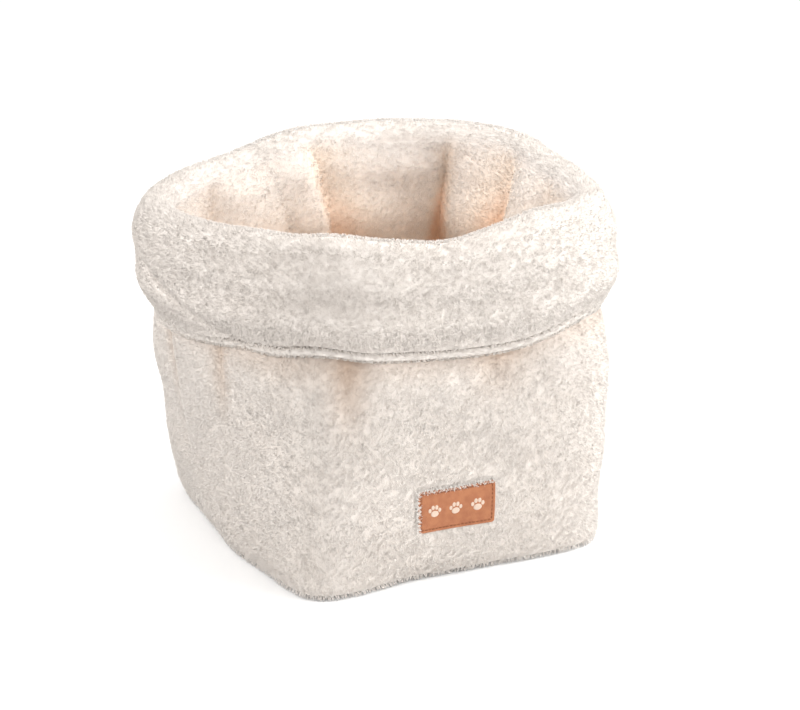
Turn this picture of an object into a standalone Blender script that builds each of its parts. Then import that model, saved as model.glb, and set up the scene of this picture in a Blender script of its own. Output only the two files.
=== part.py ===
"""Plush storage basket with a turned-down cuff: sewn cover, wadding and lining, base foam and a stitched patch.

Metres, +Z up. The origin is the middle of the underside. The front wall, which bears the patch, faces -Y.

Each wall is a sandwich of cover, wadding and lining. All three run up the wall, over the rim roll and down again
as the cuff, so a wall's section is a hook. A layer is a grid laid along that hook and given its thickness.
"""

import math

import bmesh
import bpy
from mathutils import Vector

COLLECTION = "plush_basket"

# Driving dimensions.
HEIGHT = 0.300
BASE_HALF = 0.139  # middle of the wall's thickness to the basket's axis, at the floor
RIM_HALF = 0.1555  # the same, at the rim roll
BASE_SQUARENESS = 8.0  # superellipse exponents of the plan
RIM_SQUARENESS = 3.6
ROLL_RADIUS = 0.0078  # of the hook, to the middle of the wadding
CUFF_DROP = 0.088  # from the roll's centre to the lining's hem

# Layers. Each is held off the middle of the wadding by its offset, towards the lining's side.
PLUSH = 0.0045
WADDING = 0.0024
LAYER_GAP = 0.0004
HEM_REVEAL = 0.006  # the cover's hem shows this far below the lining's
WADDING_SHORT = 0.010  # the wadding ends this far above the lining's hem
SEAM_GAP = 0.0004  # between a wall's edge and its neighbour's

FOAM = 0.008
BASE_ROUNDING = 0.0015
BASE_PLAN_POINTS = 64

PATCH_WIDTH = 0.068
PATCH_HEIGHT = 0.037
PATCH_THICKNESS = 0.0014
PATCH_X = -0.0055
PATCH_Z = 0.060
PATCH_CORNER = 0.002
PATCH_CORNER_STEPS = 4
STITCH_INSET = 0.0028
THREAD_RADIUS = 0.0004

PLAN_STEPS = 14  # along one wall
WALL_STEPS = 4  # up one wall
ROLL_STEPS = 6
CUFF_STEPS = 3
SLOPE_STEP = 1e-4  # radians, for the plan's slope

LINING_OFFSET = WADDING / 2 + LAYER_GAP + PLUSH / 2
ROLL_CENTRE_Z = HEIGHT - ROLL_RADIUS - LINING_OFFSET - PLUSH / 2


def material(name, colour, roughness):
    made = bpy.data.materials.new(name)
    made.use_nodes = True
    shader = made.node_tree.nodes["Principled BSDF"]
    shader.inputs["Base Color"].default_value = (*colour, 1.0)
    shader.inputs["Roughness"].default_value = roughness
    shader.inputs["Metallic"].default_value = 0.0
    return made


def plan_half(z):
    """Half the plan's width at this height, to the middle of the wadding."""
    return BASE_HALF + (RIM_HALF - BASE_HALF) * z / ROLL_CENTRE_Z


def plan_squareness(z):
    return BASE_SQUARENESS + (RIM_SQUARENESS - BASE_SQUARENESS) * z / ROLL_CENTRE_Z


def plan_radius(angle, squareness):
    """Distance of a unit superellipse from its middle, in this direction."""
    across, along = abs(math.cos(angle)), abs(math.sin(angle))
    return (across**squareness + along**squareness) ** (-1 / squareness)


def plan_point(angle, z, outwards=0.0):
    """A point of the wadding's middle, at this angle and height, moved outwards square to the plan."""
    height = min(z, ROLL_CENTRE_Z)
    half, squareness = plan_half(height), plan_squareness(height)
    before = plan_radius(angle - SLOPE_STEP, squareness)
    here = plan_radius(angle, squareness)
    after = plan_radius(angle + SLOPE_STEP, squareness)
    slope = (after - before) / (2 * SLOPE_STEP)
    radial = Vector((math.cos(angle), math.sin(angle), 0.0))
    tangent = Vector((-math.sin(angle), math.cos(angle), 0.0))
    normal = (radial * here - tangent * slope).normalized()
    return radial * here * half + normal * outwards + Vector((0.0, 0.0, z))


def hook_section(bottom, hem_z, offset):
    """The layer's path as (outwards, z) pairs: up the wall, round the roll and down to the hem."""
    path = [(-offset, bottom + (ROLL_CENTRE_Z - bottom) * i / WALL_STEPS) for i in range(WALL_STEPS)]
    radius = ROLL_RADIUS + offset
    for i in range(ROLL_STEPS + 1):
        turn = math.pi * i / ROLL_STEPS
        path.append((ROLL_RADIUS - radius * math.cos(turn), ROLL_CENTRE_Z + radius * math.sin(turn)))
    outside = 2 * ROLL_RADIUS + offset
    path += [
        (outside, ROLL_CENTRE_Z + (hem_z - ROLL_CENTRE_Z) * i / CUFF_STEPS)
        for i in range(1, CUFF_STEPS + 1)
    ]
    return path


def wall_angle(facing, side):
    """The plan angle of a wall's point, where side runs from -1 to 1 between its corners.

    Points crowd towards the corners, where the plan turns. The wall stops short of them by half the seam gap.
    """
    reach = math.pi / 4 - SEAM_GAP / (2 * BASE_HALF)
    return facing + reach * math.sin(side * math.pi / 2)


def wall_layer(name, facing, section, thickness, finish):
    """One wall's layer: a grid laid along the hook, from corner to corner, thickened both ways."""
    mesh = bpy.data.meshes.new(name)
    shape = bmesh.new()
    rows = len(section)
    bmesh.ops.create_grid(shape, x_segments=PLAN_STEPS, y_segments=rows - 1, size=1.0)
    for vertex in shape.verts:
        row = round((vertex.co.y + 1) / 2 * (rows - 1))
        outwards, z = section[row]
        vertex.co = plan_point(wall_angle(facing, vertex.co.x), z, outwards)
    shape.to_mesh(mesh)
    shape.free()
    wall = bpy.data.objects.new(name, mesh)
    wall.data.materials.append(finish)
    solid = wall.modifiers.new("thickness", "SOLIDIFY")
    solid.thickness = thickness
    solid.offset = 0.0
    solid.use_even_offset = True
    mesh.shade_smooth()
    return wall


def flat_panel(name, low, high, outwards, finish):
    """A base layer: a filled plan outline, extruded, with its rim rounded over."""
    outline = bpy.data.curves.new(name, "CURVE")
    outline.dimensions = "2D"
    outline.fill_mode = "BOTH"
    outline.extrude = (high - low) / 2 - BASE_ROUNDING
    outline.bevel_depth = BASE_ROUNDING
    outline.bevel_resolution = 2
    outline.offset = -BASE_ROUNDING
    loop = outline.splines.new("POLY")
    loop.points.add(BASE_PLAN_POINTS - 1)
    loop.use_cyclic_u = True
    for i, point in enumerate(loop.points):
        angle = 2 * math.pi * i / BASE_PLAN_POINTS
        edge = plan_point(angle, low, outwards)
        point.co = (edge.x, edge.y, 0.0, 1.0)
    panel = bpy.data.objects.new(name, outline)
    panel.location = (0.0, 0.0, (low + high) / 2)
    outline.materials.append(finish)
    return panel


def rounded_rectangle(curve, width, height):
    """A closed outline with round corners, as one poly spline."""
    corner, steps = PATCH_CORNER, PATCH_CORNER_STEPS
    loop = curve.splines.new("POLY")
    loop.points.add(4 * (steps + 1) - 1)
    loop.use_cyclic_u = True
    for quarter in range(4):
        start = quarter * math.pi / 2
        sign_x = 1 if quarter in (0, 3) else -1
        sign_y = 1 if quarter in (0, 1) else -1
        for step in range(steps + 1):
            turn = start + math.pi / 2 * step / steps
            x = sign_x * (width / 2 - corner) + corner * math.cos(turn)
            y = sign_y * (height / 2 - corner) + corner * math.sin(turn)
            loop.points[quarter * (steps + 1) + step].co = (x, y, 0.0, 1.0)


def front_surface_y(clearance):
    """Where the front cover's outer face lies at the patch, moved out by a clearance."""
    angle = math.atan2(-plan_half(PATCH_Z), PATCH_X)
    outside = PLUSH / 2 + LINING_OFFSET
    return min(
        plan_point(angle, z, outside).y
        for z in (PATCH_Z - PATCH_HEIGHT / 2, PATCH_Z + PATCH_HEIGHT / 2)
    ) - clearance


def patch(finish):
    outline = bpy.data.curves.new("label_patch", "CURVE")
    outline.dimensions = "2D"
    outline.fill_mode = "BOTH"
    outline.extrude = PATCH_THICKNESS / 2
    rounded_rectangle(outline, PATCH_WIDTH, PATCH_HEIGHT)
    piece = bpy.data.objects.new("label_patch", outline)
    outline.materials.append(finish)
    piece.location = (PATCH_X, front_surface_y(LAYER_GAP + PATCH_THICKNESS / 2), PATCH_Z)
    piece.rotation_euler = (math.pi / 2, 0.0, 0.0)
    return piece


def patch_thread(finish):
    """The thread round the patch, as one closed loop lying on its face."""
    line = bpy.data.curves.new("label_stitching", "CURVE")
    line.dimensions = "3D"
    line.bevel_depth = THREAD_RADIUS
    line.bevel_resolution = 2
    rounded_rectangle(line, PATCH_WIDTH - 2 * STITCH_INSET, PATCH_HEIGHT - 2 * STITCH_INSET)
    piece = bpy.data.objects.new("label_stitching", line)
    line.materials.append(finish)
    lift = LAYER_GAP + PATCH_THICKNESS + LAYER_GAP + THREAD_RADIUS
    piece.location = (PATCH_X, front_surface_y(lift), PATCH_Z)
    piece.rotation_euler = (math.pi / 2, 0.0, 0.0)
    return piece


def main():
    for old in list(bpy.data.objects):
        bpy.data.objects.remove(old, do_unlink=True)
    parts = bpy.data.collections.new(COLLECTION)
    bpy.context.scene.collection.children.link(parts)

    cream = material("cream_plush", (0.86, 0.78, 0.70), 0.95)
    lining_cream = material("lining_plush", (0.88, 0.80, 0.72), 0.95)
    white = material("wadding_white", (0.90, 0.90, 0.88), 0.9)
    foam = material("foam_white", (0.85, 0.85, 0.80), 0.85)
    tan = material("tan_leatherette", (0.62, 0.29, 0.16), 0.55)
    thread = material("tan_thread", (0.45, 0.19, 0.10), 0.7)

    lining_hem = ROLL_CENTRE_Z - CUFF_DROP
    layers = (
        ("outer", -LINING_OFFSET, PLUSH, lining_hem - HEM_REVEAL, cream),
        ("wadding", 0.0, WADDING, lining_hem + WADDING_SHORT, white),
        ("lining", LINING_OFFSET, PLUSH, lining_hem, lining_cream),
    )
    walls = (("front", -90), ("right", 0), ("back", 90), ("left", 180))
    for layer, offset, thickness, hem, finish in layers:
        bottom = 0.0 if layer == "outer" else PLUSH + LAYER_GAP
        section = hook_section(bottom, hem, offset)
        for side, degrees in walls:
            wall = wall_layer(f"{layer}_{side}", math.radians(degrees), section, thickness, finish)
            parts.objects.link(wall)

    # The base layers end inside the walls: the cover's inside the cover walls, the others inside the lining.
    inside_cover = LINING_OFFSET - PLUSH / 2 - LAYER_GAP
    inside_lining = -LINING_OFFSET - PLUSH / 2 - LAYER_GAP
    parts.objects.link(flat_panel("outer_base", 0.0, PLUSH, inside_cover, cream))
    foam_low = PLUSH + LAYER_GAP
    parts.objects.link(flat_panel("base_foam", foam_low, foam_low + FOAM, inside_lining, foam))
    lining_low = foam_low + FOAM + LAYER_GAP
    parts.objects.link(flat_panel("lining_base", lining_low, lining_low + PLUSH, inside_lining, lining_cream))
    parts.objects.link(patch(tan))
    parts.objects.link(patch_thread(thread))


main()
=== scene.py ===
"""Looks of a plush basket with a turned-down cuff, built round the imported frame.

Every layer of a wall follows one soft form: up the wall, over the rim roll and down as the cuff. A point of that form
is given by around and along. around counts walls, from 0 at the front's left corner to 4, evenly by distance.
along is the distance in metres from the wall's foot, over the roll, to the hem.
"""

import math

import bpy
import numpy as np
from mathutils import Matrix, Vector


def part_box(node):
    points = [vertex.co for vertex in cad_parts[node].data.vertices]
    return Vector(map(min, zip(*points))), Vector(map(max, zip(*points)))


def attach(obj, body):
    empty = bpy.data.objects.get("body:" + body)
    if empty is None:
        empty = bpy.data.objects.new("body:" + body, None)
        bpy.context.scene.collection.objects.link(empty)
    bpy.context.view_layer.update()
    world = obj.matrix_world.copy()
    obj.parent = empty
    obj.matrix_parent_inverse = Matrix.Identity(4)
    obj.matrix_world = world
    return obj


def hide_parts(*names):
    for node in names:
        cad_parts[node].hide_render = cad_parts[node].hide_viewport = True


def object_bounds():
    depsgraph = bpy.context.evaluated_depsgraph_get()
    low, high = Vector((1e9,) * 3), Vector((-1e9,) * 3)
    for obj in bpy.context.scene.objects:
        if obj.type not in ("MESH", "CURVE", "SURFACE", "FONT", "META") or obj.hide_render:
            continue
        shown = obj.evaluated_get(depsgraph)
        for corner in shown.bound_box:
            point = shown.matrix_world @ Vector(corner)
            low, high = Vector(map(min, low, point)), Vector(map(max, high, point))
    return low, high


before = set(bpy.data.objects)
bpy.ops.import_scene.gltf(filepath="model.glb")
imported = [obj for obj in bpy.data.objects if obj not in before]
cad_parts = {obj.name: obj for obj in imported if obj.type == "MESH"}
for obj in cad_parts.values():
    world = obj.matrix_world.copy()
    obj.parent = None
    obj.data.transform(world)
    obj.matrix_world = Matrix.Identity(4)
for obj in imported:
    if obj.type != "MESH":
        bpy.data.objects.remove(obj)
cad_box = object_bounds()

# ---- Sizes, in metres ----

WALLS = ("front", "right", "back", "left")
NUDGE = 1e-4  # a step small enough to find a slope or a direction by

# Layers, as heights above the middle of the wadding. The lining is on the positive side, the cover on the negative.
WADDING_HALF = 0.0010
CLOTH_LOW = 0.0016
CLOTH_HIGH = 0.0034
PILE_LENGTH = 0.0030
PILE_HEIGHT = CLOTH_HIGH + 0.0028  # where the pile's tips lie

FOOT_Z = 0.0045  # where along starts
LOWEST_TIP = 0.0003  # no tip of the pile goes below this height
FLOOR_HALF = float(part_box("outer_base")[1].x) + 0.0050 - PILE_HEIGHT  # the plan's half width at the floor
RIM_HALF = 0.1518  # and at the rim
FLOOR_SQUARENESS = 9.3  # superellipse exponents of the plan
MIDDLE_SQUARENESS = 4.5
RIM_SQUARENESS = 2.58

ROLL_RADIUS = 0.0088
CUFF_DEPTH = 0.0827  # from the roll's middle to the lining's hem
HEM_REVEAL = 0.0085  # the cover's hem shows this far below the lining's
COVER_PAST = 0.002  # the cover itself goes on this far, into the roll that ends it
WADDING_SHORT = 0.012  # the wadding ends this far above the lining's hem
ROLL_TOP = float(cad_box[1][2]) + 0.001  # of the pile's tips

WALL_RUN = ROLL_TOP - PILE_HEIGHT - ROLL_RADIUS - FOOT_Z
ROLL_RUN = math.pi * ROLL_RADIUS
HEM = WALL_RUN + ROLL_RUN + CUFF_DEPTH

# Waves round the plan, one, two and three a turn, each (cosine, sine): the rim's height, the cuff's extra depth, and
# how far the floor's outline and the rim's are pushed out.
RIM_RISE = ((0.0073, -0.0005), (-0.0004, 0.0051), (-0.0008, -0.0013))
CUFF_DROP = ((-0.0017, 0.0042), (-0.0021, -0.0023), (-0.0014, 0.0034))
FLOOR_SPREAD = ((-0.0011, 0.0027), (0.0008, -0.0019), (-0.0034, -0.0028))
RIM_SPREAD = ((-0.0038, 0.0121), (0.0049, -0.0050), (-0.0003, 0.0022))
RIM_LIFTS = (  # (around, half width, height) of the rim's local rises and dips
    (0.03, 0.13, 0.0045),
    (0.42, 0.14, -0.0072),
    (0.80, 0.14, 0.0055),
    (1.70, 0.24, 0.0045),
    (2.50, 0.17, 0.0095),
)
HEM_LIFTS = ((0.02, 0.13, 0.0066), (0.93, 0.16, 0.0088))  # the same, of the cuff's hem
BULGES = (  # (around, half width, share of the height, half height, depth) of local swellings
    (1.15, 0.14, 1.00, 0.40, 0.0060),
    (1.03, 0.09, 0.45, 0.22, 0.0050),
    (3.05, 0.10, 0.45, 0.20, 0.0055),
)
CUFF_SWELLS = ((0.22, 0.20, 0.0054), (0.66, 0.20, 0.0027))  # (share of the cuff's depth, half height, swelling)
TUCK = 0.0142  # how far the cuff's hem turns in
TUCK_SPAN = (0.62, 1.08)  # in shares of the cuff's depth
# A crease slants across the left of the cuff: its depth, where it is on the plan, where it is down the cuff, its slope,
# its half height, and the middle of its length past WAIST_AROUND with its half length.
WAIST, WAIST_AROUND, WAIST_DOWN, WAIST_SLOPE, WAIST_HALF = 0.0046, 3.3, 0.47, 1.3, 0.07
WAIST_REACH = (0.04, 0.30)
WALL_SWELLS = (  # (share of the wall's height, half height, swelling)
    (0.60, 0.16, 0.0051),
    (0.22, 0.16, 0.0020),
    (0.76, 0.075, -0.0070),  # the cuff's hem presses the wall in
    (-0.01, 0.035, -0.0040),  # the foot turns in to the floor
)

SIDE = 0.285  # one wall's length around the basket, about the middle of its height


# ---- The soft form ----


def bump(x, centre, width):
    """A smooth hump of height 1 about centre."""
    return np.exp(-(((x - centre) / width) ** 2))


def smooth(x, low, high):
    """0 below low, 1 above high, and a smooth rise between."""
    t = np.clip((x - low) / (high - low), 0.0, 1.0)
    return t * t * (3 - 2 * t)


def swelling(x, swells):
    """The sum of smooth humps along x, each given as (centre, half width, height)."""
    return sum(height * bump(x, centre, half_width) for centre, half_width, height in swells)


def wrapped(around, centre):
    """Signed distance round the basket from centre, in walls."""
    return (around - centre + 2.0) % 4.0 - 2.0


def squircle(angle, squareness):
    """Distance of a unit superellipse from its middle, in this direction."""
    across, along = np.abs(np.cos(angle)), np.abs(np.sin(angle))
    return (across**squareness + along**squareness) ** (-1 / squareness)


def even_angles():
    """A table from around to plan angle that spaces points evenly along a middling plan."""
    angle = np.linspace(-0.75 * math.pi, 1.25 * math.pi, 4001)
    reach = squircle(angle, MIDDLE_SQUARENESS)
    x, y = reach * np.cos(angle), reach * np.sin(angle)
    run = np.concatenate([[0.0], np.cumsum(np.hypot(np.diff(x), np.diff(y)))])
    return run / run[-1] * 4.0, angle


AROUND_TABLE, ANGLE_TABLE = even_angles()


def plan_angle(around):
    turns = np.floor(around / 4.0)
    return np.interp(around - 4.0 * turns, AROUND_TABLE, ANGLE_TABLE) + turns * 2 * math.pi


def waves(angle, terms):
    """A sum of waves round the plan: (cosine part, sine part) for one wave a turn, two, three and so on."""
    total = np.zeros_like(angle)
    for count, (cosine, sine) in enumerate(terms, 1):
        total = total + cosine * np.cos(count * angle) + sine * np.sin(count * angle)
    return total


def local_lift(around, lifts):
    """The sum of smooth humps round the plan, each given as (around, half width, height)."""
    return sum(height * bump(wrapped(around, centre), 0.0, half_width) for centre, half_width, height in lifts)


def hook(around, along):
    """(outward distance from the plan, height, share of the wall's height) of the form at a point."""
    angle = plan_angle(around)
    lift = local_lift(around, RIM_LIFTS)
    rise = waves(angle, RIM_RISE) + lift
    up = np.clip(along / WALL_RUN, 0.0, 1.0)
    over = np.clip((along - WALL_RUN) / ROLL_RUN, 0.0, 1.0)
    down = np.clip((along - WALL_RUN - ROLL_RUN) / CUFF_DEPTH, 0.0, None)
    turn = math.pi * over
    drop = CUFF_DEPTH + waves(angle, CUFF_DROP) + lift - local_lift(around, HEM_LIFTS)
    height = FOOT_Z + (WALL_RUN + rise) * up + ROLL_RADIUS * np.sin(turn) - drop * down
    past = wrapped(around, WAIST_AROUND)
    waist = WAIST * bump(down, WAIST_DOWN + WAIST_SLOPE * past, WAIST_HALF) * bump(past, *WAIST_REACH)
    cuff = swelling(down, CUFF_SWELLS) - waist - TUCK * smooth(down, *TUCK_SPAN)
    outward = ROLL_RADIUS * (1 - np.cos(turn)) + cuff * (over >= 1.0)
    outward = outward + swelling(up, WALL_SWELLS) * (over <= 0.0)
    share = np.clip((height - FOOT_Z) / (WALL_RUN + rise), 0.0, 1.0)
    return outward, height, np.where(over > 0.0, share, up)


def middle(around, along):
    """The middle of the wadding, as an (..., 3) array."""
    angle = plan_angle(around)
    outward, height, share = hook(around, along)
    squareness = FLOOR_SQUARENESS + (RIM_SQUARENESS - FLOOR_SQUARENESS) * share
    half = FLOOR_HALF + (RIM_HALF - FLOOR_HALF) * share
    reach = squircle(angle, squareness) * half + outward
    reach = reach + waves(angle, FLOOR_SPREAD) * (1 - share) + waves(angle, RIM_SPREAD) * share
    for centre, half_width, at_share, half_share, depth in BULGES:
        reach = reach + depth * bump(wrapped(around, centre), 0.0, half_width) * bump(share, at_share, half_share)
    return np.stack([reach * np.cos(angle), reach * np.sin(angle), height], axis=-1)


def normals(face, around, along):
    """Unit normals of a face by small steps, pointing to the lining's side."""
    over = face(around + NUDGE / SIDE, along) - face(around - NUDGE / SIDE, along)
    up = face(around, along + NUDGE) - face(around, along - NUDGE)
    normal = np.cross(up, over)
    return normal / np.linalg.norm(normal, axis=-1, keepdims=True)


# ---- Folds ----

# The lining is a little too long round the inside, so it buckles inwards between upright creases.
# Each fold: where it stands at the foot (around), how far the creases are on its lower and on its higher side, its
# depth, and how far it leans from foot to rim. Where two meet, the deeper one shows.
FOLDS = (
    (1.26, 0.16, 0.15, 0.0060, 0.00),
    (1.53, 0.14, 0.13, 0.0090, -0.02),
    (1.90, 0.19, 0.175, 0.0100, -0.10),
    (2.38, 0.205, 0.30, 0.0150, -0.23),
    (2.24, 0.065, 0.15, 0.0105, 0.30),
    (2.72, 0.23, 0.14, 0.0095, 0.00),
    (2.96, 0.14, 0.20, 0.0060, 0.00),
    (3.36, 0.22, 0.20, 0.0060, 0.02),
    (3.72, 0.18, 0.22, 0.0060, 0.00),
    (0.20, 0.24, 0.22, 0.0060, 0.02),
    (0.66, 0.24, 0.22, 0.0055, -0.02),
)

FOLD_START = (0.02, 0.30)  # they rise out of the wall between these shares of its height
FOLD_END = (WALL_RUN * 0.90, WALL_RUN + 0.4 * ROLL_RUN)  # and fade in to the rim between these distances along it

# Soft hollows in the outside, below the cuff and on the walls: middle (around, share of the wall's height), half
# width in walls, half height in shares, and depth.
HOLLOWS = (
    (0.10, 0.66, 0.055, 0.16, 0.0050),
    (0.63, 0.68, 0.090, 0.12, 0.0045),
    (0.36, 0.20, 0.200, 0.12, 0.0020),
    (3.25, 0.56, 0.025, 0.24, 0.0040),
    (3.57, 0.60, 0.040, 0.20, 0.0040),
    (1.30, 0.60, 0.080, 0.20, 0.0040),
    (1.75, 0.35, 0.120, 0.15, 0.0030),
    (2.35, 0.62, 0.070, 0.18, 0.0045),
    (2.75, 0.45, 0.110, 0.20, 0.0030),
)

# Gentle unevenness of the whole wall: waves round the basket, waves along the cloth in each metre, turn, height.
RIPPLES = ((3, 9.0, 0.4, 0.0009), (5, -6.0, 2.1, 0.0008), (8, 14.0, 4.0, 0.0005), (13, -11.0, 1.2, 0.0004))


def ripple(around, along):
    total = 0.0
    for turns, per_metre, start, height in RIPPLES:
        total = total + height * np.sin(2 * math.pi * (turns * around / 4 + per_metre * along) + start)
    return total


def fold_relief(around, along):
    """How far the lining bulges into the basket."""
    up = np.clip(along / WALL_RUN, 0.0, 1.0)
    fade = smooth(up, *FOLD_START) * (1 - smooth(along, *FOLD_END))
    total = np.zeros(np.broadcast(around, along).shape)
    for centre, before, after, depth, lean in FOLDS:
        off = wrapped(around, centre + lean * up)
        past = np.where(off < 0, -off / before, off / after)
        total = np.maximum(total, depth * np.clip(1 - past**2, 0.0, 1.0))
    return total * fade


def hollow_relief(around, along):
    """How far the cover's wall is pressed in."""
    up = along / WALL_RUN
    total = np.zeros(np.broadcast(around, along).shape)
    for centre, height, half_width, half_height, depth in HOLLOWS:
        total = total + depth * bump(wrapped(around, centre), 0.0, half_width) * bump(up, height, half_height)
    return total


def lining_face(around, along, level=CLOTH_HIGH):
    """Points of the lining, at a level above the middle of the wadding."""
    lift = level + fold_relief(around, along) + ripple(around, along)
    return middle(around, along) + normals(middle, around, along) * lift[..., None]


def cover_face(around, along, level=CLOTH_HIGH):
    """Points of the cover, on the wadding's other side."""
    lift = np.asarray(level) - hollow_relief(around, along) - ripple(around, along)
    return middle(around, along) - normals(middle, around, along) * lift[..., None]


# ---- Painted light and shade ----

# Painted light and shade: how far a point's tone goes from the pale of open faces to the warm of shaded ones, from 0 to
# 1.
INSIDE_PAINTED_LIGHT = 0.24  # painted light of the inside, just below the rim
DEEP_PAINTED_SHADE = 0.22  # painted shade, added down the inside
CREASE_PAINTED_SHADE = 0.50  # painted shade, added in the creases between its folds
ROOT_PAINTED_SHADE = 0.22  # painted shade, added at the pile's roots
HOLLOW_PAINTED_SHADE = 0.60  # painted shade of the outside, for each HOLLOW_DEPTH pressed in
UNDER_CUFF_PAINTED_SHADE = 0.35  # painted shade, added close under the cuff's hem

INSIDE_FROM = (WALL_RUN - 0.016, WALL_RUN + 0.5 * ROLL_RUN)  # the inside's painted light and shade ends between these distances
DEEP_FROM = (WALL_RUN - 0.110, WALL_RUN - 0.010)
CREASE_DEPTH = 0.007  # a fold this deep gets no painted crease shade
CREASE_FALL = 1.5
HOLLOW_DEPTH = 0.005
HOLLOW_FROM = (0.30, 0.62)  # in shares of the wall's height
UNDER_CUFF_FROM = (0.60, 0.70)

# Painted shade where the folds shade each other: (around at the foot, half width on its lower and on its higher side,
# how much painted shade, lean).
FOLD_PAINTED_SHADES = (
    (1.30, 0.100, 0.100, 0.30, 0.00),
    (1.67, 0.015, 0.130, 0.60, -0.02),
    (2.17, 0.030, 0.030, 0.40, -0.23),
    (2.20, 0.120, 0.012, 0.50, 0.30),
)


# Painted light and shade of the lining: paler inside the basket, and warmer and darker down the inside, in the creases
# between its folds and where the folds shade each other.
def lining_painted_light_and_shade(around, along):
    inside = 1 - smooth(along, *INSIDE_FROM)
    deep = 1 - smooth(along, *DEEP_FROM)
    crease = np.clip(1 - fold_relief(around, along) / CREASE_DEPTH, 0.0, 1.0) ** CREASE_FALL
    shade = 0.0
    for centre, before, after, much, lean in FOLD_PAINTED_SHADES:
        off = wrapped(around, centre + lean * np.clip(along / WALL_RUN, 0.0, 1.0))
        shade = shade + much * bump(off, 0.0, np.where(off < 0, before, after))
    folded = (CREASE_PAINTED_SHADE * crease + shade) * (0.30 + 0.70 * deep)
    return inside * np.minimum(INSIDE_PAINTED_LIGHT + DEEP_PAINTED_SHADE * deep + folded, 1.0)


def cover_painted_light_and_shade(around, along):
    """Painted shade: the hollows under the cuff are painted warm and darker, and so is the cloth close under its hem.
    """
    up = along / WALL_RUN
    hollow = HOLLOW_PAINTED_SHADE * hollow_relief(around, along) / HOLLOW_DEPTH * smooth(up, *HOLLOW_FROM)
    return np.clip(hollow + UNDER_CUFF_PAINTED_SHADE * smooth(up, *UNDER_CUFF_FROM), 0, 1)


def painted_light_and_shade(face, around, along):
    """The painted light and shade of a face's points: of the lining, of the cover, or the same all over, which for the
    inside floor is its painted light.
    """
    if face is lining_face:
        return lining_painted_light_and_shade(around, along)
    if face is cover_face:
        return cover_painted_light_and_shade(around, along)
    return np.full(np.broadcast(around, along).shape, INSIDE_PAINTED_LIGHT if face is floor_face else 0.0)


# ---- Meshes ----


def new_object(name, points, faces, finish):
    """A mesh object from points and quads or triangles, shaded smooth."""
    mesh = bpy.data.meshes.new(name)
    corners = faces.shape[1]
    mesh.vertices.add(len(points))
    mesh.vertices.foreach_set("co", points.astype(np.float32).ravel())
    mesh.loops.add(faces.size)
    mesh.loops.foreach_set("vertex_index", faces.astype(np.int32).ravel())
    mesh.polygons.add(len(faces))
    mesh.polygons.foreach_set("loop_start", np.arange(0, faces.size, corners, dtype=np.int32))
    mesh.polygons.foreach_set("use_smooth", np.ones(len(faces), bool))
    mesh.update(calc_edges=True)
    mesh.materials.append(finish)
    made = bpy.data.objects.new(name, mesh)
    bpy.context.scene.collection.objects.link(made)
    return made


def store(mesh, name, kind, values):
    """Keeps a value with each of a mesh's points: its painted light and shade, which the plush material reads, or its
    normal.
    """
    stored = mesh.attributes.new(name, kind, "POINT")
    stored.data.foreach_set("value" if kind == "FLOAT" else "vector", np.asarray(values, np.float32).ravel())


def give_bake_map(mesh, faces, flat):
    """The map that colours are kept in: each point where it lies, seen square on to the cloth."""
    low, high = flat.min(axis=0), flat.max(axis=0)
    spread = (flat - low) / (high - low)
    layer = mesh.uv_layers.new(name="OFBake")
    layer.data.foreach_set("uv", spread[faces.ravel()].astype(np.float32).ravel())


def slab(top, bottom):
    """Points and quads of a closed slab between two grids of points of the same shape."""
    rows, columns = top.shape[:2]
    index = np.arange(rows * columns).reshape(rows, columns)
    under = index + rows * columns

    def strip(a, b, c, d):
        return np.stack([a.ravel(), b.ravel(), c.ravel(), d.ravel()], axis=1)

    faces = [
        strip(index[:-1, :-1], index[:-1, 1:], index[1:, 1:], index[1:, :-1]),
        strip(under[:-1, :-1], under[1:, :-1], under[1:, 1:], under[:-1, 1:]),
        strip(index[0, :-1], under[0, :-1], under[0, 1:], index[0, 1:]),
        strip(index[-1, :-1], index[-1, 1:], under[-1, 1:], under[-1, :-1]),
        strip(index[:-1, 0], index[1:, 0], under[1:, 0], under[:-1, 0]),
        strip(index[:-1, -1], under[:-1, -1], under[1:, -1], index[1:, -1]),
    ]
    return np.concatenate([top.reshape(-1, 3), bottom.reshape(-1, 3)]), np.concatenate(faces)


def closed_by_rings(top, under, rings, spokes):
    """Points and triangles of a closed form of two sides, each a middle point with rings about it."""
    ring = 1 + np.arange(rings * spokes).reshape(rings, spokes)
    after = np.roll(ring, -1, axis=1)
    side = [
        np.stack([np.zeros_like(ring[0]), ring[0], after[0]], axis=-1),
        np.stack([ring[:-1], ring[1:], after[1:]], axis=-1).reshape(-1, 3),
        np.stack([ring[:-1], after[1:], after[:-1]], axis=-1).reshape(-1, 3),
    ]
    side, edge, edge_after, count = np.concatenate(side), ring[-1], after[-1], len(top)
    wall = np.stack([edge, edge + count, edge_after + count], axis=-1)
    wall_too = np.stack([edge, edge_after + count, edge_after], axis=-1)
    return np.concatenate([top, under]), np.concatenate([side, side[:, ::-1] + count, wall, wall_too])


def ladder(ring, turned):
    """Quads that close a ring of points, rung by rung. turned faces them the other way."""
    last = len(ring) - 1
    quads = [(ring[i], ring[i + 1], ring[last - 1 - i], ring[last - i]) for i in range(len(ring) // 2 - 1)]
    return quads if turned else [quad[::-1] for quad in quads]


def crowded(count):
    """0 to 1, crowded towards both ends, so that edges can be rounded."""
    return 0.5 - 0.5 * np.cos(np.linspace(0.0, math.pi, count))


SEAM = 0.0001  # how far a wall's cloth stops short of its corner, in walls
SKIN_PAINTED_SHADE = 0.5 * ROOT_PAINTED_SHADE  # painted shade, added to the cloth itself, which lies at the pile's roots
THIN_EDGE = 0.02  # the square of the share of its thickness that a sheet's edge keeps


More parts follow.
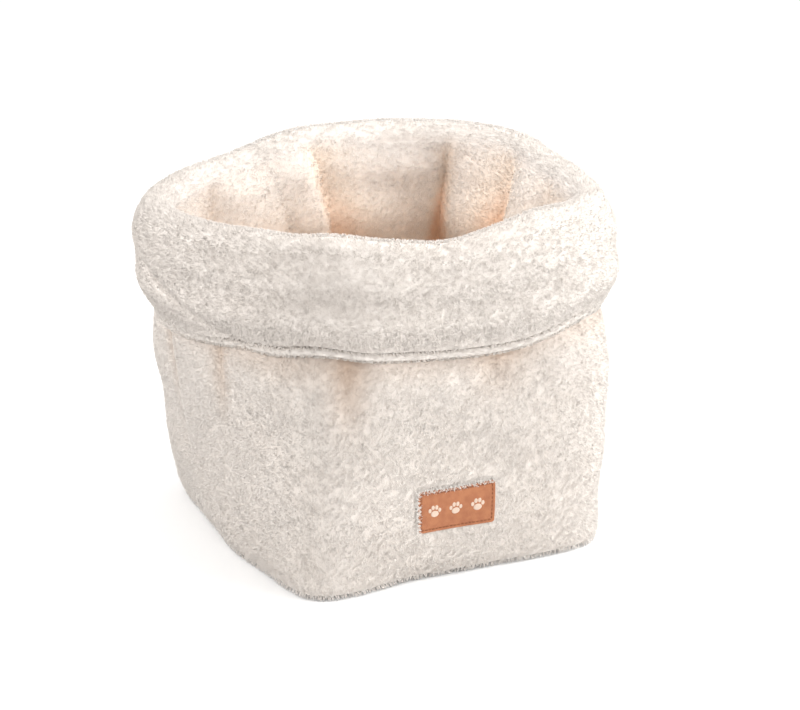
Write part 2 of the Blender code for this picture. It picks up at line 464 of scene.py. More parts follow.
def layer_panel(name, wall, levels, hem, face, finish, columns=70, rows=110):
    """One wall's layer: a closed sheet between two levels of the form, with round edges."""
    around = wall + SEAM + (1 - 2 * SEAM) * crowded(columns)
    along = hem * crowded(rows)
    around, along = np.meshgrid(around, along)
    low, high = levels
    half, centre = (high - low) / 2, (high + low) / 2
    to_edge = np.minimum(hem - along, along + half)
    inset = np.clip(1 - to_edge / half, 0.0, 1.0)
    thick = half * np.sqrt(np.clip(1 - inset**2, THIN_EDGE, 1.0))
    top, bottom = face(around, along, centre + thick), face(around, along, centre - thick)
    points, faces = slab(top, bottom)
    made = new_object(name, points, faces, finish)
    # The cloth's painted light and shade, with the painted shade of the pile's roots added.
    tone = np.minimum(painted_light_and_shade(face, around, along) + SKIN_PAINTED_SHADE, 1.0).ravel()
    store(made.data, "painted_light_and_shade", "FLOAT", np.concatenate([tone, tone]))
    # Its two faces lie side by side on the colour map.
    flat = np.stack([(around - wall) * SIDE, along], axis=-1).reshape(-1, 2)
    give_bake_map(made.data, faces, np.concatenate([flat, flat + (1.02 * SIDE, 0.0)]))
    return made


# ---- Materials ----


def material(name, **sockets):
    """A new material, with its nodes and links, and its shader's sockets set."""
    made = bpy.data.materials.new(name)
    made.use_nodes = True
    nodes, links = made.node_tree.nodes, made.node_tree.links
    return made, nodes, links, set_up(nodes["Principled BSDF"], **sockets)


def set_up(node, **sockets):
    """Sets a node's input sockets, named with _ for each space."""
    for name, value in sockets.items():
        node.inputs[name.replace("_", " ")].default_value = value
    return node


def wire(links, *joins):
    """Links nodes' sockets: each join is (node, output, node, input)."""
    for source, output, target, into in joins:
        links.new(source.outputs[output], target.inputs[into])


def colour_ramp(nodes, stops):
    """A colour ramp through these (position, colour) stops."""
    ramp = nodes.new("ShaderNodeValToRGB")
    while len(ramp.color_ramp.elements) < len(stops):
        ramp.color_ramp.elements.new(0.5)
    for stop, (at, colour) in zip(ramp.color_ramp.elements, stops):
        stop.position = at
        stop.color = (*colour, 1.0)
    return ramp


def plush_material(name, tones):
    """Cream plush: tones is a list of (painted light and shade, colour), varied a little from tuft to tuft and from
    hand to hand.
    """
    made, nodes, links, shader = material(name, Roughness=1.0, Specular_IOR_Level=0.1)
    set_up(shader, Sheen_Weight=0.1, Sheen_Roughness=0.5)
    where = nodes.new("ShaderNodeTexCoord")
    tufts = set_up(nodes.new("ShaderNodeTexNoise"), Scale=260.0, Detail=3.0)
    broad = set_up(nodes.new("ShaderNodeTexNoise"), Scale=22.0, Detail=2.0)
    both = nodes.new("ShaderNodeMath")
    both.operation = "MULTIPLY_ADD"
    both.inputs[1].default_value = 0.45
    varied = set_up(nodes.new("ShaderNodeMapRange"), From_Min=0.42, From_Max=0.86, To_Min=0.06, To_Max=-0.06)
    # Reads each point's painted light and shade.
    stored = nodes.new("ShaderNodeAttribute")
    stored.attribute_type = "GEOMETRY"
    stored.attribute_name = "painted_light_and_shade"
    total = nodes.new("ShaderNodeMath")
    total.operation = "ADD"
    ramp = colour_ramp(nodes, tones)
    wire(
        links,
        (where, "Object", tufts, "Vector"),
        (where, "Object", broad, "Vector"),
        (broad, "Fac", both, 0),
        (tufts, "Fac", both, 2),
        (both, 0, varied, "Value"),
        (varied, "Result", total, 0),
        (stored, "Fac", total, 1),
        (total, 0, ramp, "Fac"),
        (ramp, "Color", shader, "Base Color"),
    )
    return made


def plain_cloth(name, colour, scale):
    """Padding, thread or print: matte, with a fibrous mottle."""
    made, nodes, links, shader = material(name, Roughness=0.95)
    where = nodes.new("ShaderNodeTexCoord")
    fibres = set_up(nodes.new("ShaderNodeTexNoise"), Scale=scale, Detail=6.0)
    tones = colour_ramp(nodes, [(0.0, [0.86 * c for c in colour]), (1.0, colour)])
    wire(
        links,
        (where, "Object", fibres, "Vector"),
        (fibres, "Fac", tones, "Fac"),
        (tones, "Color", shader, "Base Color"),
    )
    return made


def leather_material(name, colour, deep):
    """Leather-look patch: a fine pebbled grain, mottled tone and a soft gloss."""
    made, nodes, links, shader = material(name, Specular_IOR_Level=0.4)
    where = nodes.new("ShaderNodeTexCoord")
    grain = set_up(nodes.new("ShaderNodeTexVoronoi"), Scale=1400.0)
    mottle = set_up(nodes.new("ShaderNodeTexNoise"), Scale=160.0, Detail=5.0)
    tones = colour_ramp(nodes, [(0.3, deep), (0.62, colour)])
    rough = set_up(nodes.new("ShaderNodeMapRange"), To_Min=0.46, To_Max=0.66)
    raised = set_up(nodes.new("ShaderNodeBump"), Strength=0.35, Distance=0.0003)
    wire(
        links,
        (where, "Object", grain, "Vector"),
        (where, "Object", mottle, "Vector"),
        (mottle, "Fac", tones, "Fac"),
        (tones, "Color", shader, "Base Color"),
        (mottle, "Fac", rough, "Value"),
        (rough, "Result", shader, "Roughness"),
        (grain, "Distance", raised, "Height"),
        (raised, "Normal", shader, "Normal"),
    )
    return made


# ---- Pile ----

CLUMP = 0.0025  # the pitch of the pile's tufts
STRAND_RADIUS = 0.00028
STRAND_POINTS = 5
STRAND_ROOT = 0.10  # how far a strand goes into the cloth, and how high it is thickest, in shares of its length
STRAND_BELLY = 0.62
STRAND_ROUNDNESS = 0.45  # how much a strand's own roundness shows in its shading
STRAND_WANDER = 0.0006  # how far its tip strays from its tuft's lean
STRAND_BOW = 0.0005  # and its middle
TUFT_GATHER = 0.55  # how far a tuft's tips draw together, as a share
TUFT_SWAY = 0.0009  # how far a tuft leans at most
MOST_STRETCH = 1.5  # the most area, in square metres, of a face for each SIDE by metre of it
RNG = np.random.default_rng(7)


def cell_value(cell, salt):
    """A repeatable value from 0 to 1 for each cell of a grid."""
    mixed = np.sin(cell[..., 0] * 127.1 + cell[..., 1] * 311.7 + salt * 74.7) * 43758.5453
    return mixed - np.floor(mixed)


def nearest_tuft(place):
    """The middle of the tuft that each root belongs to, in the same metres across and along, and the tuft's cell."""
    best = np.full(len(place), np.inf)
    centre, cell = np.zeros_like(place), np.zeros_like(place)
    here = np.floor(place / CLUMP)
    for step_a in (-1, 0, 1):
        for step_b in (-1, 0, 1):
            near = here + (step_a, step_b)
            at = (near + np.stack([cell_value(near, 1), cell_value(near, 2)], axis=-1)) * CLUMP
            far = ((at - place) ** 2).sum(axis=-1)
            nearer = far < best
            best[nearer], centre[nearer], cell[nearer] = far[nearer], at[nearer], near[nearer]
    return centre, cell


def unit(vectors):
    """The vectors at length 1."""
    return vectors / np.linalg.norm(vectors, axis=-1, keepdims=True)


def tangents(face, around, along):
    """Where a face's points lie, the directions in which around and along grow, and its area per unit of both."""
    base = face(around, along)
    over = (face(around + NUDGE / SIDE, along) - base) / NUDGE
    ahead = (face(around, along + NUDGE) - base) / NUDGE
    return base, unit(over), unit(ahead), np.linalg.norm(np.cross(over, ahead), axis=-1)


def scattered(face, wall, low, high, per_mm2, keep):
    """Random points of one wall's face, even by area, as (around, along)."""
    tries = int(SIDE * (high - low) * MOST_STRETCH * 1e6 * per_mm2)
    around = wall + RNG.random(tries)
    along = low + (high - low) * RNG.random(tries)
    kept = RNG.random(tries) * MOST_STRETCH < tangents(face, around, along)[3]
    if keep is not None:
        kept &= keep(around, along)
    return around[kept], along[kept]


def strands(base, facing, tangent, middle_lean, tip_lean, length, radius):
    """Points, triangles and point normals of closed strands, each a thin spindle of three sides, bent at its middle."""
    across = np.cross(facing, tangent)
    points, shading = [base - facing * (STRAND_ROOT * length)[:, None]], [facing]
    for corner in range(3):
        turn = 2 * math.pi * corner / 3
        side = tangent * math.cos(turn) + across * math.sin(turn)
        points.append(base + facing * (STRAND_BELLY * length)[:, None] + middle_lean + side * radius[:, None])
        shading.append(unit(facing + STRAND_ROUNDNESS * side))
    points.append(base + facing * length[:, None] + tip_lean)
    shading.append(unit(facing + 0.5 * tip_lean / length[:, None]))
    own = []
    for corner in (1, 2, 3):
        after = corner % 3 + 1
        own += [(0, after, corner), (corner, after, STRAND_POINTS - 1)]
    faces = (np.array(own)[None] + STRAND_POINTS * np.arange(len(base))[:, None, None]).reshape(-1, 3)
    return np.stack(points, axis=1).reshape(-1, 3), faces, np.stack(shading, axis=1).reshape(-1, 3)


def pile(name, face, outwards, around, along, finish, length=PILE_LENGTH, comb=None):
    """Pile that stands on a face, gathered in small tufts that each lean their own way.

    comb, if given, is a function of (around, along) that gives a lean across and along the cloth, in metres.
    """
    base, over, ahead, _ = tangents(face, around, along)
    facing = unit(np.cross(ahead, over)) * outwards
    place = np.stack([around * SIDE, along], axis=-1)
    centre, cell = nearest_tuft(place)
    count = len(base)
    turn = 2 * math.pi * cell_value(cell, 3)
    sway = TUFT_SWAY * cell_value(cell, 4)
    tall = length * (0.88 + 0.24 * cell_value(cell, 5)) * (0.84 + 0.20 * RNG.random(count))
    lean = TUFT_GATHER * (centre - place) + sway[:, None] * np.stack([np.cos(turn), np.sin(turn)], axis=-1)
    lean += STRAND_WANDER * RNG.normal(size=(count, 2))
    bow = STRAND_BOW * RNG.normal(size=(count, 2))
    if comb is not None:
        lean += comb(around, along)
    tip_lean = over * lean[:, :1] + ahead * lean[:, 1:]
    middle_lean = 0.5 * tip_lean + over * bow[:, :1] + ahead * bow[:, 1:]
    spin = 2 * math.pi * RNG.random(count)
    tangent = over * np.cos(spin)[:, None] + np.cross(facing, over) * np.sin(spin)[:, None]
    radius = STRAND_RADIUS * (0.75 + 0.5 * RNG.random(count))
    points, faces, shading = strands(base, facing, tangent, middle_lean, tip_lean, tall, radius)
    points[:, 2] = np.maximum(points[:, 2], LOWEST_TIP)
    made = new_object(name, points, faces, finish)
    # Each strand is shaded partly as the surface that it stands on, as soft pile looks.
    store(made.data, "custom_normal", "FLOAT_VECTOR", shading)
    depths = ROOT_PAINTED_SHADE * np.array([1.0, 0.3, 0.3, 0.3, 0.0])  # painted shade at the root, the three of the belly and the tip
    store(made.data, "painted_light_and_shade", "FLOAT", np.clip(painted_light_and_shade(face, around, along)[:, None] + depths, 0.0, 1.0))
    offset = points.reshape(count, STRAND_POINTS, 3) - base[:, None]
    flat = np.stack([(offset * over[:, None]).sum(-1), (offset * ahead[:, None]).sum(-1)], axis=-1)
    give_bake_map(made.data, faces, (flat + place[:, None]).reshape(-1, 2))
    return made


# ---- Camera, light and floor ----

CAMERA_PLACE = (-27.5, 20.5, 1.85)  # azimuth and elevation in degrees, and distance
CAMERA_LENS = 97.4
CAMERA_SHIFT = (0.0219, -0.0032)
AIM = Vector((0.0, 0.0, 0.15))


def aimed(name, data, azimuth, elevation, distance):
    """An object that faces AIM from this azimuth and elevation, in degrees, and distance."""
    azimuth, elevation = math.radians(azimuth), math.radians(elevation)
    level = math.cos(elevation)
    back = Vector((math.sin(azimuth) * level, -math.cos(azimuth) * level, math.sin(elevation)))
    made = bpy.data.objects.new(name, data)
    made.location = AIM + back * distance
    made.rotation_euler = back.to_track_quat("Z", "Y").to_euler()
    bpy.context.scene.collection.objects.link(made)
    return made


def make_camera():
    lens = bpy.data.cameras.new("camera")
    lens.lens = CAMERA_LENS
    lens.shift_x, lens.shift_y = CAMERA_SHIFT
    bpy.context.scene.camera = aimed("camera", lens, *CAMERA_PLACE)


def area_light(name, place, size, power, colour):
    """A square lamp: its place as for the camera, its size in metres and its power in watts."""
    lamp = bpy.data.lights.new(name, "AREA")
    lamp.shape = "SQUARE"
    lamp.size = size
    lamp.energy = power
    lamp.color = colour
    aimed(name, lamp, *place)


def make_stage():
    """The pale floor, the white surroundings and the lamps."""
    half = 6.0
    points = np.array([(-half, -half, 0.0), (half, -half, 0.0), (half, half, 0.0), (-half, half, 0.0)])
    made, _, _, _ = material("floor_paper", Base_Color=(0.93, 0.93, 0.93, 1.0), Roughness=1.0)
    floor = new_object("floor", points, np.array([(0, 1, 2, 3)]), made)
    world = bpy.data.worlds.new("studio")
    world.use_nodes = True
    set_up(world.node_tree.nodes["Background"], Color=(1.0, 1.0, 1.0, 1.0), Strength=0.88)
    bpy.context.scene.world = world
    area_light("key", (78, 56, 2.4), 1.8, 38, (1.0, 0.99, 0.98))
    area_light("side", (45, 26, 1.3), 1.1, 11.8, (0.97, 0.99, 1.0))
    area_light("fill", (-110, 35, 2.4), 1.6, 31, (1.0, 1.0, 1.0))
    bpy.context.scene.view_settings.view_transform = "Standard"


# ---- The basket ----

STRANDS_PER_MM2 = 0.75
MOST_STRANDS = 33000  # in one piece, which keeps its mesh under 200,000 triangles
COVER_PILE_TOP = WALL_RUN * 0.72  # above this the cuff hides the cover
LINING_PILE_FOOT = 0.010  # below this the base hides the lining
SHORT_PILE = 0.0026  # of the inside
HEM_PILE = 0.0021
INSIDE_DENSITY, HEM_DENSITY = 0.80, 1.3  # of the pile inside the basket and on the hem's roll, against the rest


def belongs(piece, slot, *nodes):
    """Makes a piece part of the basket, with the CAD nodes that it stands for hidden. Its material slot is not used."""
    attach(piece, "root")
    if nodes:
        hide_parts(*nodes)
    return piece


def pile_pieces(label, face, outwards, wall, low, high, finish, slot, density=1.0, keep=None, **more):
    """One stretch of a wall's pile, from low to high along it, in as many pieces as its strands need."""
    around, along = scattered(face, wall, low, high, STRANDS_PER_MM2 * density, keep)
    order = np.argsort(along, kind="stable")
    parts = -(-len(order) // MOST_STRANDS)
    made = []
    for number, chosen in enumerate(np.array_split(order, parts), 1):
        name = f"{label}_{WALLS[wall]}" + (f"_{number}" if parts > 1 else "")
        made.append(belongs(pile(name, face, outwards, around[chosen], along[chosen], finish, **more), slot))
    return made


def pad_face(around, along, level=0.0):
    """Points of the wadding, which is pressed in with the cover."""
    return cover_face(around, along, -level)


def cover_pieces(number, side, finish):
    """The pile on one wall's cover and round its hem, and the roll of the hem itself."""
    hem_edge = belongs(hem_roll(f"hem_edge_{side}", number, finish), "outer_plush")
    on_cover = dict(face=cover_face, outwards=-1, wall=number, finish=finish, slot="outer_plush", comb=cover_comb)
    made = pile_pieces("cover_pile", low=0.0, high=COVER_PILE_TOP, keep=clear_of_patch, **on_cover)
    if side == "front":
        made += pile_pieces(
            "patch_fringe",
            low=PATCH_AT[1] - PATCH_HEIGHT,
            high=PATCH_AT[1] + PATCH_HEIGHT,
            density=FRINGE_DENSITY,
            keep=beside_patch,
            length=FRINGE_LENGTH,
            **on_cover,
        )
    made += pile_pieces(
        "hem_pile", hem_face, 1, number, *HEM_TURN, finish, "outer_plush", HEM_DENSITY, length=HEM_PILE
    )
    return [hem_edge, *made]


def lining_pieces(number, finish):
    """The pile on one wall's lining: inside the basket, over the roll and down the cuff."""
    made = []
    for label, low, high, density, length in (
        ("wall_pile", LINING_PILE_FOOT, WALL_RUN, INSIDE_DENSITY, SHORT_PILE),
        ("roll_pile", WALL_RUN, WALL_RUN + ROLL_RUN, 1.0, PILE_LENGTH),
        ("cuff_pile", WALL_RUN + ROLL_RUN, HEM, 1.0, PILE_LENGTH),
    ):
        made += pile_pieces(
            label, lining_face, 1, number, low, high, finish, "lining_plush", density, length=length, comb=hem_comb
        )
    return made


def build_wall(number, side, cover, lining, wadding):
    """One wall's cover, wadding and lining, each a sheet of cloth with what is on it."""
    cover_end, padding_end = HEM + COVER_PAST, HEM - WADDING_SHORT
    cloth, padding = (CLOTH_LOW, CLOTH_HIGH), (-WADDING_HALF, WADDING_HALF)
    outer = layer_panel(f"cover_{side}", number, cloth, cover_end, cover_face, cover)
    pad = layer_panel(f"padding_{side}", number, padding, padding_end, pad_face, wadding)
    inner = layer_panel(f"inside_{side}", number, cloth, HEM, lining_face, lining)
    belongs(outer, "outer_plush", f"outer_{side}")
    belongs(pad, "wadding", f"wadding_{side}")
    belongs(inner, "lining_plush", f"lining_{side}")
    for piece, going, hem, rest in (
        (outer, cover_pieces(number, side, cover), cover_end, "padding"),
        (pad, [], padding_end, "inside"),
        (inner, lining_pieces(number, lining), HEM, "padding"),
    ):
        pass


# ---- The hem's rolled edge ----

HEM_RADIUS = 0.0034
HEM_OUT = 0.0014  # the roll's middle stands this far out from the wadding's
HEM_START = -1.0  # where the roll leaves the cover, as an angle from straight out, turning down
HEM_TURN = (0.0, 3.3 * HEM_RADIUS)  # the roll's pile, as distances round the roll from there
HEM_RINGS, HEM_COLUMNS = 16, 90  # points round the roll and along it
HEM_FAN = 0.0012  # how far the pile fans down at the lining's hem
HEM_FAN_FROM = 0.0055  # and how far above the hem that starts


def hem_face(around, along, level=0.0):
    """The cover's hem, rolled under below the lining's edge: along runs round the roll, from the cover outwards."""
    turn = HEM_START + along / HEM_RADIUS
    hem = np.full_like(around, HEM)
    core = middle(around, hem)
    facing = normals(middle, around, hem)
    ahead = unit(middle(around, hem + NUDGE) - core)
    reach = HEM_RADIUS + level
    core = core + ahead * (HEM_REVEAL - HEM_RADIUS) + facing * HEM_OUT
    return core + facing * (reach * np.cos(turn))[..., None] + ahead * (reach * np.sin(turn))[..., None]


def hem_roll(name, wall, finish):
    """The roll itself: a closed tube along the wall's hem."""
    around, turn = np.meshgrid(
        wall + SEAM + (1 - 2 * SEAM) * np.linspace(0, 1, HEM_COLUMNS),
        np.linspace(0, 2 * math.pi * HEM_RADIUS, HEM_RINGS + 1)[:-1],
    )
    at = hem_face(around, turn)
    index = np.arange(at.shape[0] * at.shape[1]).reshape(at.shape[:2])
    ahead = np.roll(index, -1, axis=0)
    quads = np.stack([index[:, :-1], ahead[:, :-1], ahead[:, 1:], index[:, 1:]], axis=-1).reshape(-1, 4)
    ends = []
    for ring, turned in ((index[:, 0], False), (index[:, -1], True)):
        ends += ladder(ring, turned)
    return new_object(name, at.reshape(-1, 3), np.concatenate([quads, np.array(ends)]), finish)


def hem_comb(around, along):
    """The pile fans down and round the lining's hem."""
    down = HEM_FAN * smooth(along, HEM - HEM_FAN_FROM, HEM)
    return np.stack([np.zeros_like(down), down], axis=-1)


# ---- The patch ----

PATCH_LOW, PATCH_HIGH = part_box("label_patch")
PATCH_WIDTH, PATCH_HEIGHT = PATCH_HIGH.x - PATCH_LOW.x, PATCH_HIGH.z - PATCH_LOW.z
PATCH_RISE = 0.0026  # of its middle above the CAD's
PATCH_TILT = math.radians(-1.0)
PATCH_CORNER = 0.0022
PATCH_LEVEL = CLOTH_HIGH + 0.0012  # of its underside
PATCH_THICK = 0.0012
PATCH_ROLL = 0.0008  # the radius of its rolled edge
PATCH_EDGE = 0.45  # the edge's thickness, as a share
PATCH_PILLOW = 0.0005  # its middle stands this far above its stitches
STITCH_INSET = 0.0026
STITCH_CHANNEL = 0.0003
STITCH_PITCH, STITCH_LENGTH, STITCH_RADIUS = 0.0032, 0.0023, 0.00034
STITCH_LIFT = 0.0002  # of a stitch's middle above the channel

# The pile round it. Its roots stop short of the patch, apart from a lap under the upper and left edges.
PATCH_CLEAR = 0.0012
PATCH_LAP = 0.0016
PATCH_LEAN = 0.0018  # how far the pile leans in over those two edges, fading over LEAN_REACH
LEAN_REACH = 0.012
FRINGE_DENSITY = 3.5
FRINGE_LENGTH = 0.0036
FRINGE_STRIP = (-0.0004, 0.0026)  # where the fringe grows, past those edges
FOOT_COMB = 0.0042  # how far the pile turns down at the wall's foot, fading over FOOT_REACH
FOOT_REACH = 0.009


def patch_centre():
    """(around, along) of the patch's middle on the front wall, found by stepping towards it."""
    goal = np.array([(PATCH_LOW.x + PATCH_HIGH.x) / 2, (PATCH_LOW.z + PATCH_HIGH.z) / 2 + PATCH_RISE])
    place = np.array([0.5, 0.05])
    for _ in range(12):
        at = cover_face(place[:1], place[1:])[0]
        place = place + (goal - at[[0, 2]]) / (SIDE, 1.0)
    return place


PATCH_AT = patch_centre()


def on_patch(across, up, level):
    """A point over the patch's middle by so much across and up, in metres, at a level above the cover."""
    turned_across = across * math.cos(PATCH_TILT) - up * math.sin(PATCH_TILT)
    turned_up = across * math.sin(PATCH_TILT) + up * math.cos(PATCH_TILT)
    around = PATCH_AT[0] + turned_across / PATCH_STRETCH
    return cover_face(around, PATCH_AT[1] + turned_up, level)


def patch_stretch():
    """Metres across the front wall for each unit of around, at the patch."""
    reach = 0.01
    ends = cover_face(PATCH_AT[0] + np.array([-reach, reach]), np.full(2, PATCH_AT[1]))
    return float(np.linalg.norm(ends[1] - ends[0]) / (2 * reach))


PATCH_STRETCH = patch_stretch()


def patch_place(around, along):
    """A point of the front wall as (across, up) from the patch's middle, the other way round from on_patch."""
    across, up = (around - PATCH_AT[0]) * PATCH_STRETCH, along - PATCH_AT[1]
    cosine, sine = math.cos(PATCH_TILT), math.sin(PATCH_TILT)
    return across * cosine + up * sine, up * cosine - across * sine


def clear_of_patch(around, along):
    """True for roots that the patch doesn't cover. The pile's tips still lap over its upper and left edges."""
    across, up = patch_place(around, along)
    left, right = -PATCH_WIDTH / 2 + PATCH_LAP, PATCH_WIDTH / 2 + PATCH_CLEAR
    low, high = -PATCH_HEIGHT / 2 - PATCH_CLEAR, PATCH_HEIGHT / 2 - PATCH_LAP
    return ~((across > left) & (across < right) & (up > low) & (up < high))


def past_patch(around, along):
    """How far points lie past the patch's upper edge and past its left one, each with how far beside that edge."""
    across, up = patch_place(around, along)
    half_a, half_b = PATCH_WIDTH / 2, PATCH_HEIGHT / 2
    return (up - half_b, np.abs(across) - half_a), (-across - half_a, np.abs(up) - half_b)


def beside_patch(around, along):
    """True for roots in the strip along the patch's upper edge, or along its left one."""
    low, high = FRINGE_STRIP
    above, left = ((past > low) & (past < high) & (beside < 0) for past, beside in past_patch(around, along))
    return above | left


def cover_comb(around, along):
    """The pile turns down to the floor at the wall's foot, and leans in over the patch's upper and left edges."""
    down = -FOOT_COMB * (1 - smooth(along, 0.0, FOOT_REACH))
    above, left = (
        (past > -PATCH_LAP) * (1 - smooth(past, 0.0, LEAN_REACH)) * (1 - smooth(beside, 0.0, LEAN_REACH))
        for past, beside in past_patch(around, along)
    )
    return np.stack([PATCH_LEAN * left, down - PATCH_LEAN * above], axis=-1)


def rounded(across, up, corner):
    """Moves the corner points of a rectangular grid in to a round corner."""
    inner_a, inner_b = PATCH_WIDTH / 2 - corner, PATCH_HEIGHT / 2 - corner
    past_a, past_b = np.clip(np.abs(across) - inner_a, 0, None), np.clip(np.abs(up) - inner_b, 0, None)
    reach = np.hypot(past_a, past_b)
    scale = np.where(reach > 0, np.maximum(past_a, past_b) / np.maximum(reach, 1e-12), 1.0)
    across = np.sign(across) * (np.minimum(np.abs(across), inner_a) + past_a * scale)
    up = np.sign(up) * (np.minimum(np.abs(up), inner_b) + past_b * scale)
    return across, up


def patch_top(across, up):
    """The level of the patch's face: rolled over at the edge, with a channel under the stitches."""
    to_edge = np.minimum(PATCH_WIDTH / 2 - np.abs(across), PATCH_HEIGHT / 2 - np.abs(up))
    roll = np.sqrt(np.clip(1 - np.clip(1 - to_edge / PATCH_ROLL, 0, 1) ** 2, 0, 1))
    channel = STITCH_CHANNEL * bump(to_edge, STITCH_INSET, PATCH_ROLL)
    pillow = PATCH_PILLOW * smooth(to_edge, STITCH_INSET, PATCH_HEIGHT / 2)
    return PATCH_LEVEL + PATCH_THICK * (PATCH_EDGE + (1 - PATCH_EDGE) * roll) - channel + pillow


def patch_piece(finish):
    """The leather-look patch."""
    grid_a, grid_b = np.meshgrid(crowded(141) * 2 - 1, crowded(91) * 2 - 1)
    flat_a, flat_b = grid_a * PATCH_WIDTH / 2, grid_b * PATCH_HEIGHT / 2
    level = patch_top(flat_a, flat_b)
    across, up = rounded(flat_a, flat_b, PATCH_CORNER)
    points, faces = slab(on_patch(across, up, PATCH_LEVEL + 0.0 * across), on_patch(across, up, level))
    return new_object("patch", points, faces, finish)


def capsules(name, middles, along, facing, length, radius, finish):
    """Closed round-ended stitches, arched a little, as one mesh."""
    sides = 8
    # Each ring of points: where along the stitch it is, from -1 to 1, and its share of the radius.
    rings = ((-1.0, 0.35), (-0.82, 0.85), (-0.5, 1.0), (0.5, 1.0), (0.82, 0.85), (1.0, 0.35))
    across = np.cross(facing, along)
    points = []
    for place, share in rings:
        arch = 0.35 * radius * (1 - place * place)
        at = middles + along * (place * length / 2) + facing * arch
        for side in range(sides):
            turn = 2 * math.pi * side / sides
            points.append(at + (across * math.cos(turn) + facing * math.sin(turn)) * radius * share)
    own = []
    for ring in range(len(rings) - 1):
        for side in range(sides):
            after = (side + 1) % sides
            low, high = ring * sides, (ring + 1) * sides
            own.append((low + side, low + after, high + after, high + side))
    for low, turned in ((0, False), ((len(rings) - 1) * sides, True)):
        own += ladder(range(low, low + sides), turned)
    count = len(rings) * sides
    faces = (np.array(own)[None] + count * np.arange(len(middles))[:, None, None]).reshape(-1, 4)
    return new_object(name, np.stack(points, axis=1).reshape(-1, 3), faces, finish)


def patch_stitches(finish):
    """A running stitch round the patch, in its channel."""
    half_a, half_b = PATCH_WIDTH / 2 - STITCH_INSET, PATCH_HEIGHT / 2 - STITCH_INSET
    places, runs = [], []
    for fixed, half, sideways in (
        (-half_b, half_a, True),
        (half_b, half_a, True),
        (-half_a, half_b, False),
        (half_a, half_b, False),
    ):
        count = int(2 * half / STITCH_PITCH)
        for i in range(count):
            at = -half + 2 * half * (i + 0.5) / count
            places.append((at, fixed) if sideways else (fixed, at))
            runs.append((1.0, 0.0) if sideways else (0.0, 1.0))
    places, runs = np.array(places), np.array(runs)
    level = patch_top(*places.T) + STITCH_LIFT
    at = on_patch(*places.T, level)
    along = unit(on_patch(*(places + runs * NUDGE).T, level) - at)
    facing = unit(on_patch(*places.T, level + NUDGE) - at)
    return capsules("patch_stitches", at, along, facing, STITCH_LENGTH, STITCH_RADIUS, finish)


# One paw print: each pad's middle and half sizes, in shares of the print's size.
PAW_PADS = (
    (0.00, -0.20, 0.50, 0.40),
    (-0.62, 0.24, 0.20, 0.27),
    (-0.23, 0.60, 0.21, 0.29),
    (0.23, 0.60, 0.21, 0.29),
    (0.62, 0.24, 0.20, 0.27),
)
PAW_SIZE = 0.0070
PAW_PITCH = 0.0190
PAW_DROP = 0.0010  # of the row below the patch's middle
PAW_RINGS, PAW_SPOKES = 5, 24
PRINT_RELIEF = 0.00022


def dome(across, up, half_across, half_up):
    """Points and triangles of one closed printed spot on the patch: a low dome over a hidden underside."""
    radii = np.linspace(0.0, 1.0, PAW_RINGS + 1)[1:]
    turns = np.linspace(0, 2 * math.pi, PAW_SPOKES + 1)[:-1]
    reach = np.concatenate([[0.0], np.repeat(radii, PAW_SPOKES)])
    at_across = across + half_across * np.concatenate([[0.0], (radii[:, None] * np.cos(turns)).ravel()])
    at_up = up + half_up * np.concatenate([[0.0], (radii[:, None] * np.sin(turns)).ravel()])
    level = patch_top(at_across, at_up)
    top = on_patch(at_across, at_up, level + PRINT_RELIEF * np.sqrt(np.clip(1 - reach**4, 0, 1)))
    under = on_patch(at_across, at_up, level - PRINT_RELIEF)
    return closed_by_rings(top, under, PAW_RINGS, PAW_SPOKES)


def paw_prints(finish):
    """Three paw prints in a row, printed pale on the patch: a generic mark."""
    points, faces, start = [], [], 0
    for place in (-1, 0, 1):
        for pad_across, pad_up, half_across, half_up in PAW_PADS:
            across, up = place * PAW_PITCH + pad_across * PAW_SIZE, pad_up * PAW_SIZE - PAW_DROP
            spot, triangles = dome(across, up, half_across * PAW_SIZE, half_up * PAW_SIZE)
            points.append(spot)
            faces.append(triangles + start)
            start += len(spot)
    return new_object("patch_print", np.concatenate(points), np.concatenate(faces), finish)


# ---- The base ----


INSIDE_FLOOR = float(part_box("lining_base")[1].z) - 0.002
COVER_BASE = (0.0004, 0.0034)  # each layer's underside and top
BASE_PAD = (0.0042, 0.0136)
LINING_BASE = (INSIDE_FLOOR - 0.0022, INSIDE_FLOOR)
FLOOR_CROWN = 0.001  # how much higher the pad and the lining are in the middle
FLOOR_START, FLOOR_REACH = 0.002, 0.135  # the inside floor's pile starts by its middle and ends by the wall
FLOOR_MARGIN = 0.006  # between the end of its pile and the form
FLOOR_RINGS, FLOOR_COLUMNS = 40, 160


def floor_disc(name, levels, margin, finish, crown=0.0):
    """A base layer: a closed slab to a margin inside the wall's foot, with a rounded edge."""
    low, high = levels
    around = np.linspace(0, 4, FLOOR_COLUMNS + 1)[:-1]
    foot = middle(around, np.full_like(around, low))[:, :2]
    out = np.linalg.norm(foot, axis=1)
    share = np.sin(np.linspace(0, math.pi / 2, FLOOR_RINGS))
    half, centre = (high - low) / 2, (high + low) / 2
    to_edge = (1 - share) * float((out - margin).min())
    thick = half * np.sqrt(np.clip(1 - np.clip(1 - to_edge / half, 0, 1) ** 2, 0.01, 1))
    spots = (foot / out[:, None])[None] * (out - margin)[None, :, None] * share[:, None, None]
    sides = []
    for heights in (centre + thick + crown * (1 - share**2), centre - thick):
        rise = np.broadcast_to(heights[:, None, None], spots.shape[:2] + (1,))
        grid = np.concatenate([spots, rise], axis=-1)
        sides.append(np.concatenate([grid[0, :1], grid[1:].reshape(-1, 3)]))
    points, faces = closed_by_rings(*sides, FLOOR_RINGS - 1, FLOOR_COLUMNS)
    return new_object(name, points, faces, finish)


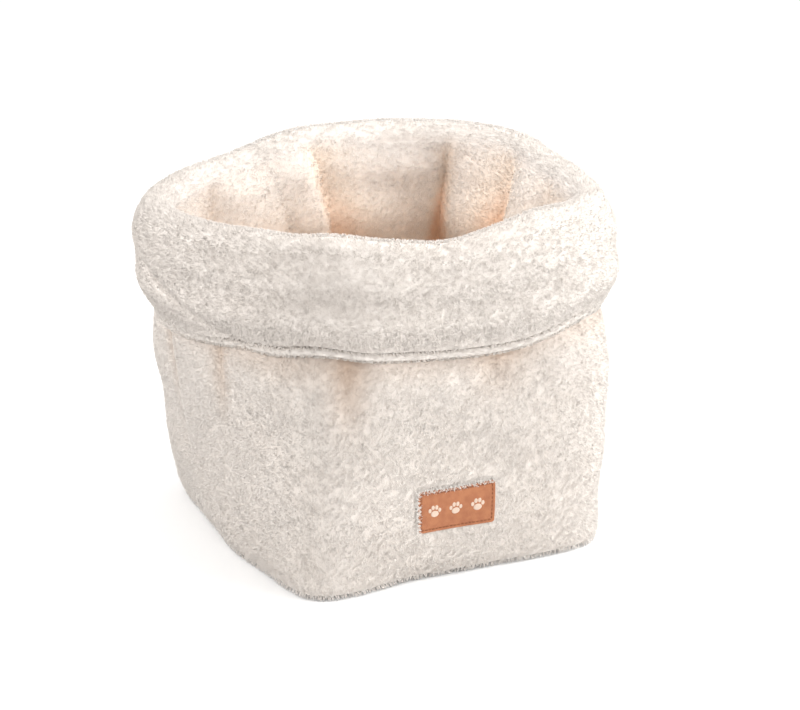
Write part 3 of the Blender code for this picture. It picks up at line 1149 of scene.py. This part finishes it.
def floor_face(around, along, level=0.0):
    """The lining's base: around turns about its middle and along runs from the middle to the wall."""
    foot = middle(around, np.full_like(around, INSIDE_FLOOR - FOOT_Z))
    reach = np.linalg.norm(foot[..., :2], axis=-1)
    share = along / FLOOR_REACH
    height = np.full_like(share, INSIDE_FLOOR + level)
    heading = foot[..., :2] / reach[..., None]
    spot = heading * ((reach - FLOOR_MARGIN) * share)[..., None]
    return np.concatenate([spot, height[..., None]], axis=-1)


def build_base(cover, lining, foam):
    """The cover's and the lining's base, with the foam pad between them."""
    under = belongs(floor_disc("cover_base", COVER_BASE, 0.0035, cover), "outer_plush", "outer_base")
    pad = belongs(floor_disc("base_pad", BASE_PAD, 0.0068, foam, FLOOR_CROWN), "foam", "base_foam")
    inner = belongs(floor_disc("inside_base", LINING_BASE, 0.0066, lining, FLOOR_CROWN), "lining_plush", "lining_base")
    on_floor = []
    for wall in range(4):
        on_floor += pile_pieces(
            "floor_pile", floor_face, 1, wall, FLOOR_START, FLOOR_REACH, lining, "lining_plush", INSIDE_DENSITY
        )


make_camera()
make_stage()
# The cover's tones: pale cream, and at 1 the warm, darker painted shade of its hollows, of the cloth under the cuff's
# hem and of the pile's roots.
COVER = plush_material("cover_plush", [(0.0, (0.805, 0.748, 0.694)), (1.0, (0.68, 0.53, 0.42))])
# The lining's tones, of one cloth with the cover: at 0, on the cuff, a darker cream than the cover's, painted shade
# that evens out the light falling more on the cuff; at the inside's value the paler painted light of the inside; and
# warmer and darker towards 1, painted shade down the inside and in its creases.
LINING_TONES = [
    (0.0, (0.705, 0.643, 0.587)),
    (INSIDE_PAINTED_LIGHT, (1.0, 0.94, 0.885)),
    (0.55, (1.0, 0.86, 0.735)),
    (1.0, (0.97, 0.64, 0.44)),
]
LINING = plush_material("lining_plush", LINING_TONES)
WADDING = plain_cloth("wadding_fibre", (0.90, 0.90, 0.88), 400.0)
FOAM = plain_cloth("pad_foam", (0.85, 0.85, 0.80), 900.0)
LEATHER = leather_material("tan_leatherette", (0.39, 0.148, 0.063), (0.31, 0.105, 0.043))
THREAD = plain_cloth("patch_thread", (0.25, 0.088, 0.040), 1500.0)
PRINT = plain_cloth("print_ink", (0.66, 0.51, 0.41), 700.0)
for number, side in enumerate(WALLS):
    build_wall(number, side, COVER, LINING, WADDING)
build_base(COVER, LINING, FOAM)
patch = belongs(patch_piece(LEATHER), "patch_leatherette", "label_patch")
stitches = belongs(patch_stitches(THREAD), "thread", "label_stitching")
prints = belongs(paw_prints(PRINT), "patch_leatherette")
